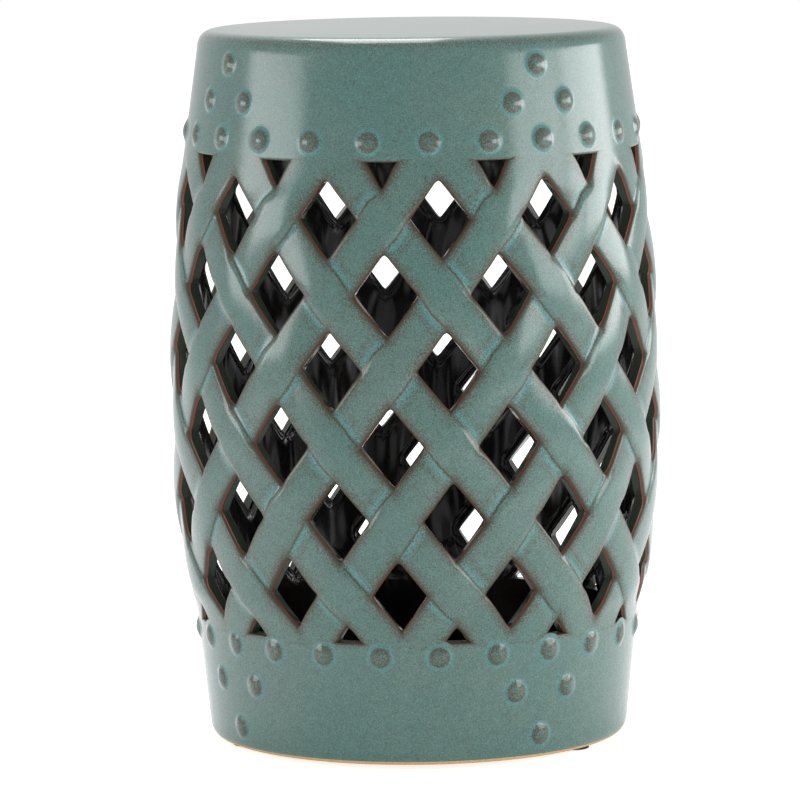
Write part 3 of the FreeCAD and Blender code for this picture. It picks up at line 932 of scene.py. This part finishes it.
PAD_ROUNDING = 0.8 * MM
PAD_CHAMFER = 0.2 * MM
PAD_TREAD = 3 * MM
PAD_HOLLOW = 0.15 * MM
PAD_ROUNDING_RINGS = 5
RUBBER_BLACK, RUBBER_GREY = (0.012, 0.012, 0.012, 1), (0.03, 0.03, 0.03, 1)


def pad_rubber():
    """Black rubber with a fine grain."""
    material, tree, shader, coords = new_material("foot_pad_rubber")
    speckle = ramp(tree, noise(tree, coords, 1400, detail=3, rough=0.55), 0.4, 0.7)
    colour = mix_colour(tree, speckle, RUBBER_BLACK, RUBBER_GREY)
    bump(tree, shader, speckle, strength=0.4, distance=0.2 * MM)
    finish_values(tree, shader, Base_Color=colour, Roughness=0.7)
    return material


rubber = pad_rubber()
for node in ("foot_pad_1", "foot_pad_2", "foot_pad_3"):
    low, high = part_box(node)
    radius = (high.x - low.x) / 2
    side_foot, sole_edge = (radius, low.z + PAD_ROUNDING), (radius - PAD_ROUNDING, low.z)
    profile = [(0, high.z), (radius - PAD_CHAMFER, high.z), (radius, high.z - PAD_CHAMFER), side_foot]
    profile += bend(side_foot, (radius, low.z), sole_edge, PAD_ROUNDING_RINGS)
    profile += [(radius - PAD_TREAD, low.z), (0, low.z + PAD_HOLLOW)]
    pad = turned(node + "_rubber", profile, [rubber])
    pad.data.transform(Matrix.Translation(((low.x + high.x) / 2, (low.y + high.y) / 2, 0)))
    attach(pad, "root")
    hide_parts(node)

# Floor, light and camera: a pale floor in white surroundings, low soft boxes at the left, the right and
# the front right, a long one overhead behind the stool, and a low fill that no gloss mirrors. A strength
# of 1 is white, and the floor's own colour adds to its strength.

FLOOR_HALF = 8
FLOOR_COLOUR = (0.86, 0.86, 0.86, 1)
FLOOR_SEEN, FLOOR_MIRRORED, FLOOR_LIGHT = 0.7, 0.26, 0.26
SURROUNDINGS_MIRRORED, SURROUNDINGS_LIGHT = 0.7, 0.57
WHITE = (1, 1, 1, 1)


def strength_by_ray(tree, seen, mirrored, light):
    """A strength for what is seen straight or through glass, for what is mirrored, and for the rest."""
    ray = tree.nodes.new("ShaderNodeLightPath").outputs
    direct = calc(tree, "MAXIMUM", ray["Is Camera Ray"], ray["Is Transmission Ray"])
    direct = calc(tree, "MULTIPLY", direct, seen)
    in_gloss = calc(tree, "MULTIPLY", ray["Is Glossy Ray"], mirrored)
    return calc(tree, "MAXIMUM", calc(tree, "MAXIMUM", direct, in_gloss), light)


def floor_material():
    """Pale matt paper that shows the stool's shadow."""
    material, tree, shader, _ = new_material("floor")
    strength = strength_by_ray(tree, FLOOR_SEEN, FLOOR_MIRRORED, FLOOR_LIGHT)
    finish_values(tree, shader, Base_Color=FLOOR_COLOUR, Roughness=0.9)
    finish_values(tree, shader, Emission_Color=WHITE, Emission_Strength=strength)
    return material


floor_mesh = bpy.data.meshes.new("floor")
corners = [(x * FLOOR_HALF, y * FLOOR_HALF, 0) for x, y in ((-1, -1), (1, -1), (1, 1), (-1, 1))]
floor_mesh.from_pydata(corners, [], [(0, 1, 2, 3)])
floor_mesh.materials.append(floor_material())
floor = bpy.data.objects.new("floor", floor_mesh)
bpy.context.scene.collection.objects.link(floor)


def soft_box(name, place, aim, width, height, power, soft=0.45):
    """A rectangular lamp whose light fades towards its edges, as behind a cloth."""
    light = bpy.data.lights.new(name, "AREA")
    light.shape = "RECTANGLE"
    light.size = width
    light.size_y = height
    light.energy = power
    light.use_nodes = True
    tree = light.node_tree
    on_lamp = tree.nodes.new("ShaderNodeNewGeometry").outputs["Parametric"]
    place_on_lamp = tree.nodes.new("ShaderNodeSeparateXYZ")
    tree.links.new(on_lamp, place_on_lamp.inputs["Vector"])
    fade = 1.0
    for side in ("X", "Y"):
        from_middle = calc(tree, "MULTIPLY_ADD", place_on_lamp.outputs[side], 2.0, -1.0)
        from_middle = calc(tree, "ABSOLUTE", from_middle)
        fade = calc(tree, "MULTIPLY", fade, ramp(tree, from_middle, 1.0, 1.0 - soft))
    feed(tree, tree.nodes["Emission"].inputs["Strength"], fade)
    lamp = bpy.data.objects.new(name, light)
    lamp.location = place
    lamp.rotation_euler = (Vector(aim) - Vector(place)).to_track_quat("-Z", "Y").to_euler()
    lamp.visible_camera = False
    bpy.context.scene.collection.objects.link(lamp)
    return lamp


barrel_middle, barrel_foot = (0, 0, 0.4), (0, 0, 0.05)
above, straight_down = (-0.22, 0.85, 2.2), (-0.22, 0.85, 0)
soft_box("left_box", (-1.538, -0.441, 0.50), barrel_middle, width=1.3, height=0.6, power=10)
soft_box("right_box", (1.52, 0.23, 0.49), barrel_middle, width=1.25, height=0.6, power=12)
soft_box("right_front_box", (1.38, -0.67, 0.50), barrel_middle, width=1.0, height=0.6, power=7.6)
soft_box("top_box", above, straight_down, width=0.9, height=2.4, power=38, soft=0.25)
low_fill = soft_box("low_fill", (0.95, -1.35, 0.16), barrel_foot, width=1.0, height=0.3, power=8)
low_fill.visible_glossy = False

world = bpy.data.worlds.new("white_surroundings")
bpy.context.scene.world = world
world.use_nodes = True
background = world.node_tree.nodes["Background"]
brightness = strength_by_ray(world.node_tree, 1.0, SURROUNDINGS_MIRRORED, SURROUNDINGS_LIGHT)
background.inputs["Color"].default_value = WHITE
feed(world.node_tree, background.inputs["Strength"], brightness)

bpy.context.scene.view_settings.view_transform = "Standard"

# The camera stands before the stool and looks slightly down at it, a little turned and tilted.
CAMERA_PLACE = (0, -3.4, 0.6334)
CAMERA_LENS, CAMERA_SENSOR = 239.9, 36
PITCH, YAW, ROLL = 0.1219, -0.0029, 0.0118

camera_data = bpy.data.cameras.new("camera")
camera_data.lens = CAMERA_LENS
camera_data.sensor_width = CAMERA_SENSOR
camera = bpy.data.objects.new("camera", camera_data)
bpy.context.scene.collection.objects.link(camera)
bpy.context.scene.camera = camera
level_ahead = Vector((math.sin(YAW), math.cos(YAW), 0))
level_right = Vector((math.cos(YAW), -math.sin(YAW), 0))
ahead = level_ahead * math.cos(PITCH) - Vector((0, 0, math.sin(PITCH)))
level_up = level_right.cross(ahead)
right = level_right * math.cos(ROLL) - level_up * math.sin(ROLL)
up = level_right * math.sin(ROLL) + level_up * math.cos(ROLL)
camera_axes = Matrix((right, up, -ahead)).transposed().to_4x4()
camera.matrix_world = Matrix.Translation(CAMERA_PLACE) @ camera_axes
